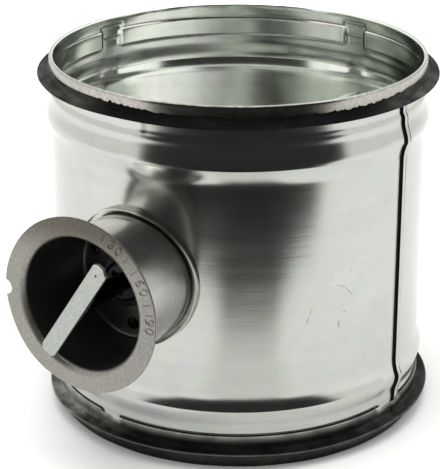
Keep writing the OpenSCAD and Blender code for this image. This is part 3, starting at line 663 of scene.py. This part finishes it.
def collar():
    fr = 36.2
    d = list(np.arange(-9, 74, 0.27)) + list(np.arange(74, 172, 2.2)) + list(np.arange(188.5, 350.5, 2.2))
    for q in (5.28, 5.24, 5.12, 4.85, 4.4, 3.8, 3.1, 2.3, 1.2):
        d += [180 - q, 180 + q]
    d += [180, 173.2, 174.0, 186.8, 186.0, 185.5, 174.5]
    D = np.radians(np.array(sorted(d)))[:, None]
    c, nr = 36.8, 3.4
    dev = np.abs(((D - math.pi + math.pi) % (2 * math.pi)) - math.pi)
    rad = nr * nr - (c * np.sin(dev)) ** 2
    edge = np.where((dev < math.radians(5.27)) & (rad > 0), c * np.cos(dev) - np.sqrt(np.clip(rad, 0, None)), fr)
    edge = np.minimum(edge, fr)
    uneven = 0.10 * rnd_curve(np.degrees(D), 41, 2, 7, 6)
    base_out, base_in, top_out, top_in = 26.8, 25.9, 28.2, 27.3
    plate, cup = 80.3, 81.2
    ax, ah = top_in + 2.8, FLANGE - 2.8       # centre of the mouth's arc

    def on(rc, a):
        return np.sqrt(rc * rc - (a * np.cos(D)) ** 2)

    cols, stroke_dirt_and_shade, deep, top, tube, back, shade = [], [], [], [], [], [], []
    # tone of the drawn tube round its axis, painted light: a painted highlight streak, a painted dark reflection on the
    # top, a paler flank
    tone = np.interp(np.degrees(D[:, 0]), [-9, 0, 15, 30, 40, 50, 62, 70, 78, 90, 112, 130, 160, 200, 240, 300, 351],
                     [0.43, 0.43, 0.46, 0.44, 0.36, 0.28, 0.28, 0.44, 0.76, 0.95, 0.95, 0.80, 0.50, 0.44, 0.42, 0.42, 0.43])

    def add(a, h, k=0.0, dp=0.0, tb=0.0, bk=0.0):
        a = np.broadcast_to(np.asarray(a, float), D.shape)
        back.append(np.full(len(D), bk))
        shade.append(tone)
        top.append((sm((a * np.sin(D) - 14.0) / 19.0) * (1 - tb))[:, 0])
        tube.append(np.full(len(D), tb))
        h = np.broadcast_to(np.asarray(h, float), D.shape)
        cols.append(np.stack([a * np.cos(D), -h, CZ + a * np.sin(D)], -1)[:, 0])
        stroke_dirt_and_shade.append(np.broadcast_to(k, D.shape)[:, 0])
        deep.append(dp * (1 - 0.12 * sm(1.2 * np.sin(D[:, 0]) + 0.15)))

    # underside of the floor, from the bush outwards
    for a in (7.05, 9, 12, 15, 18, 20.5, 23, 24.6):
        add(a, on(plate, a) + 0.02)
    # outer corner and tube
    for q in (15, 40, 65, 90):
        q = math.radians(q)
        a = base_out - 1.5 + 1.5 * math.sin(q)
        add(a, on(plate, base_out - 1.5) * 0.35 + on(plate, a) * 0.65 + 0.02 + 1.5 * (1 - math.cos(q)))
    for f in (0.08, 0.2, 0.36, 0.52, 0.68, 0.84, 0.95, 1.0):
        h0 = on(plate, base_out) + 1.5
        add(base_out + (top_out - base_out) * f, h0 + (ah - h0) * f, tb=1.0)
    for q in (12, 28, 45, 62, 78, 90):
        q = math.radians(q)
        add(ax - 1.9 * math.cos(q), ah + 1.9 * math.sin(q) + uneven * 0.4 * math.sin(q), tb=1.0)
    # back of the flange, from the mouth out to the edge: painted shade (back attribute)
    for f in (0.15, 0.4, 0.65, 0.85, 0.95):
        add(ax + (edge - 0.3 - ax) * f, FLANGE - 0.9 + uneven * f, bk=1.0)
    # rounded edge
    for q in (-90, -50, -15, 15, 50, 90):
        q = math.radians(q)
        add(edge - 0.30 + 0.30 * math.cos(q), FLANGE - 0.45 + 0.45 * math.sin(q) + uneven)
    # face, with the stamped strokes
    seg = scale_strokes()
    A = np.array([s[0] for s in seg])
    B = np.array([s[1] for s in seg])
    for f in [1 - k / 37 for k in range(1, 38)]:
        a = ax + (edge - 0.3 - ax) * f
        a = np.broadcast_to(a, D.shape)
        p = np.stack([a * np.cos(D), a * np.sin(D)], -1)              # n,1,2
        t = np.clip(((p - A) * (B - A)).sum(-1) / ((B - A) ** 2).sum(-1), 0, 1)
        dist = np.sqrt(((p - (A + t[..., None] * (B - A))) ** 2).sum(-1)).min(1)[:, None]
        stroke = sm(1 - (dist - 0.10) / 0.26)
        burr = 0.03 * np.exp(-((dist - 0.46) / 0.14) ** 2)
        add(a, FLANGE + uneven * f - 0.17 * stroke + burr, stroke)
    # rolled mouth
    for q in (80, 68, 56, 44, 32, 20, 8, 0):
        q = math.radians(q)
        add(ax - 2.8 * math.cos(q), ah + 2.8 * math.sin(q) + uneven * 0.3 * math.sin(q), 0.0, float(sm((0.42 - math.sin(q)) / 0.34)))
    # inner wall, floor corner, floor
    for f in (0.96, 0.9, 0.8, 0.66, 0.5, 0.34, 0.18, 0.06, 0.0):
        h0 = on(cup, base_in - 1.4) + 1.4
        add(base_in + (top_in - base_in) * f, h0 + (ah - h0) * f, 0.0, 1.0)
    for q in (68, 45, 22, 0):
        q = math.radians(q)
        a = base_in - 1.4 + 1.4 * math.sin(q)
        add(a, on(cup, base_in - 1.4) + 1.4 * (1 - math.cos(q)), 0.0, 1.0)
    for a in (23, 20, 17, 14, 11, 8.8, 7.05):
        add(a, on(cup, a), 0.0, 1.0)
    P = np.stack(cols, 1)
    ob = grid_piece("collar_cup", P, [M_COLLAR.m], None, {"stroke_dirt_and_shade": np.stack(stroke_dirt_and_shade, 1), "deep": np.stack(deep, 1), "top": np.stack(top, 1), "tube": np.stack(tube, 1), "back": np.stack(back, 1), "shade": np.stack(shade, 1)}, sharp=42, flip=True)
    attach(ob, "duct")
    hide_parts("handle_collar")
    return ob


shell()
lip_seal(1, 8.9)
lip_seal(0, 13.6)
collar()

# ---------------------------------------------------------------- kept nodes
LOOK = {"saddle_plate": M_PLATE, "collar_rivets": M_BLACKED, "near_bush": M_NYLON, "far_bush": M_NYLON,
        "drive_shaft": M_BLACKED, "far_pivot": M_STEEL, "shaft_o_ring": M_RUBBER, "blade": M_BLADE, "blade_rivets": M_STEEL,
        "lever": M_LEVER, "lever_pin": M_STEEL, "stop_washer": M_BLACKED, "disc_spring": M_BLACKED, "retaining_clip": M_BLACKED}
ROUND = {"lever": 0.22, "saddle_plate": 0.14, "stop_washer": 0.15, "collar_rivets": 0.12, "near_bush": 0.25, "far_bush": 0.3,
         "drive_shaft": 0.15, "far_pivot": 0.15, "retaining_clip": 0.12, "blade_rivets": 0.12}
for n, look in LOOK.items():
    ob = NODES[n]
    ob.data.materials.clear()
    ob.data.materials.append(look.m)
    weld = ob.modifiers.new("weld", "WELD")
    weld.merge_threshold = 1e-6
    if n in ROUND:
        bev = ob.modifiers.new("edges", "BEVEL")
        bev.width = ROUND[n] * MM
        bev.segments = 2
        bev.limit_method = "ANGLE"
        bev.angle_limit = math.radians(35)
        bev.harden_normals = False

# ---------------------------------------------------------------- camera
def camera():
    f, dist, el, tz, tx, roll, az = 1803.56, 790.2, math.radians(21.578), 71.54, -0.0097, 0.0041, math.radians(32.32)
    c = np.array([0, -dist * math.cos(el), tz + dist * math.sin(el)])
    fwd = np.array([0, math.cos(el), -math.sin(el)])
    right = np.array([1.0, 0, 0])
    up = np.cross(right, fwd)
    fwd2 = fwd * math.cos(tx) + right * math.sin(tx)
    right2 = right * math.cos(tx) - fwd * math.sin(tx)
    r = right2 * math.cos(roll) + up * math.sin(roll)
    u = -right2 * math.sin(roll) + up * math.cos(roll)
    rot = np.array([[math.cos(az), -math.sin(az), 0], [math.sin(az), math.cos(az), 0], [0, 0, 1]])
    c, r, u, fwd2 = rot @ c, rot @ r, rot @ u, rot @ fwd2
    cam = bpy.data.cameras.new("photo_view")
    cam.sensor_fit = "AUTO"
    cam.sensor_width = 36
    cam.lens = f * 36 / 469
    cam.clip_start = 0.02
    cam.clip_end = 50
    ob = bpy.data.objects.new("photo_view", cam)
    m = Matrix.Identity(4)
    for k in range(3):
        m[k][0], m[k][1], m[k][2], m[k][3] = r[k], u[k], -fwd2[k], c[k] * MM
    ob.matrix_world = m
    scene.collection.objects.link(ob)
    scene.camera = ob


camera()


# ---------------------------------------------------------------- studio
def look_at(ob, target):
    d = Vector(target) - ob.location
    ob.rotation_euler = d.to_track_quat("-Z", "Y").to_euler()


def area(name, az, dist, z, size, power, size_y=None, color=(1, 1, 1), target=(0, 0, 0.075)):
    li = bpy.data.lights.new(name, "AREA")
    li.shape = "RECTANGLE"
    li.size = size
    li.size_y = size_y or size
    li.energy = power
    li.color = color
    ob = bpy.data.objects.new(name, li)
    a = math.radians(CAM_AZ + az)
    ob.location = (dist * math.cos(a), dist * math.sin(a), z)
    look_at(ob, target)
    scene.collection.objects.link(ob)
    return ob


def studio():
    me = bpy.data.meshes.new("floor")
    s = 6.0
    me.from_pydata([(-s, -s, 0), (s, -s, 0), (s, s, 0), (-s, s, 0)], [], [(0, 1, 2, 3)])
    m = Mat("pale_floor").set(Metallic=0.0, Roughness=0.7)
    m.b.inputs["Specular IOR Level"].default_value = 0.2
    m.to("Base Color", m.ramp(m.noise(9, 3, 0.5), [(0.3, (0.655, 0.655, 0.655)), (0.7, (0.67, 0.67, 0.67))]))
    me.materials.append(m.m)
    floor = bpy.data.objects.new("floor", me)
    scene.collection.objects.link(floor)

    # dark part of the room that the sheet reflects: a floor part and a wall that widens upwards; only reflections see it
    pale, edge_pale = 0.66, 0.92
    rows = [(0.100, 0.0006, -26, 36, 0.60), (0.145, 0.0006, -18, 28, 0.575), (0.182, 0.0006, -14, 24, 0.54), (0.202, 0.0006, -13, 23, 0.47), (0.224, 0.0006, -13, 24, 0.30), (0.247, 0.0006, -12, 26, 0.12),
            (0.268, 0.0006, -14, 29, 0.045), (0.285, 0.0006, -22, 32, 0.026), (0.300, 0.0006, -28, 35, 0.020), (0.318, 0.0006, -33, 39, 0.017),
            (0.335, 0.0006, -36, 44, 0.014), (0.336, 0.02, -38, 48, 0.014), (0.336, 0.045, -44, 50, 0.016), (0.336, 0.075, -50, 54, 0.016),
            (0.336, 0.10, -53, 59, 0.018), (0.336, 0.18, -54, 60, 0.02), (0.336, 0.34, -54, 60, 0.02), (0.336, 0.60, -54, 60, 0.02), (0.336, 0.72, -54, 60, 0.74)]
    v, fcs, tone, n = [], [], [], 72
    for r, z, a0, a1, g in rows:
        for k in range(n + 1):
            a = math.radians(CAM_AZ + a0 + (a1 - a0) * k / n)
            v.append((r * math.cos(a), r * math.sin(a), z))
            inside = float(sm(min(k, n - k) / n * (a1 - a0) / (8.0 if z < 0.03 else 5.0)))
            tone.append(g * inside + (pale if z < 0.01 else edge_pale) * (1 - inside))
    for q in range(len(rows) - 1):
        for k in range(n):
            i = q * (n + 1) + k
            fcs.append((i, i + 1, i + n + 2, i + n + 1))
    me = bpy.data.meshes.new("dark_card")
    me.from_pydata(v, [], fcs)
    at = me.attributes.new("tone", "FLOAT", "POINT")
    at.data.foreach_set("value", tone)
    m = Mat("dark_card").set(Metallic=0.0, Roughness=1.0)
    m.b.inputs["Specular IOR Level"].default_value = 0.0
    m.to("Base Color", m.mix(1.0, m.attr("tone"), m.ramp(m.noise(7, 3, 0.5), [(0.3, (0.96, 0.99, 0.93)), (0.7, (1.0, 1.0, 0.98))]), "MULTIPLY"))
    me.materials.append(m.m)
    card = bpy.data.objects.new("dark_card", me)
    scene.collection.objects.link(card)
    card.visible_camera = False
    card.visible_diffuse = False
    card.visible_shadow = False
    card.visible_transmission = False

    w = bpy.data.worlds.new("studio")
    scene.world = w
    w.use_nodes = True
    bg = w.node_tree.nodes["Background"]
    # an even light room with a brighter ceiling
    nt = w.node_tree
    tc = nt.nodes.new("ShaderNodeTexCoord")
    sep = nt.nodes.new("ShaderNodeSeparateXYZ")
    nt.links.new(tc.outputs["Generated"], sep.inputs[0])
    up = nt.nodes.new("ShaderNodeMapRange")
    up.interpolation_type = "SMOOTHSTEP"
    for key, val in (("From Min", 0.60), ("From Max", 0.95), ("To Min", 1.16), ("To Max", 2.55)):
        up.inputs[key].default_value = val
    nt.links.new(sep.outputs["Z"], up.inputs["Value"])
    bg.inputs[0].default_value = (0.995, 1.0, 0.972, 1)
    nt.links.new(up.outputs["Result"], bg.inputs[1])
    for side in (area("soft_left", -80, 0.95, 0.42, 0.8, 2.0, 0.7), area("soft_right", 85, 0.95, 0.42, 0.8, 1.6, 0.7)):
        side.visible_glossy = False
    area("soft_top", -20, 0.25, 1.2, 0.8, 6.0, 0.8).visible_glossy = False
    scene.view_settings.view_transform = "Standard"
    scene.view_settings.look = "None"
    scene.view_settings.exposure = 0.0
    scene.view_settings.gamma = 1.0


studio()
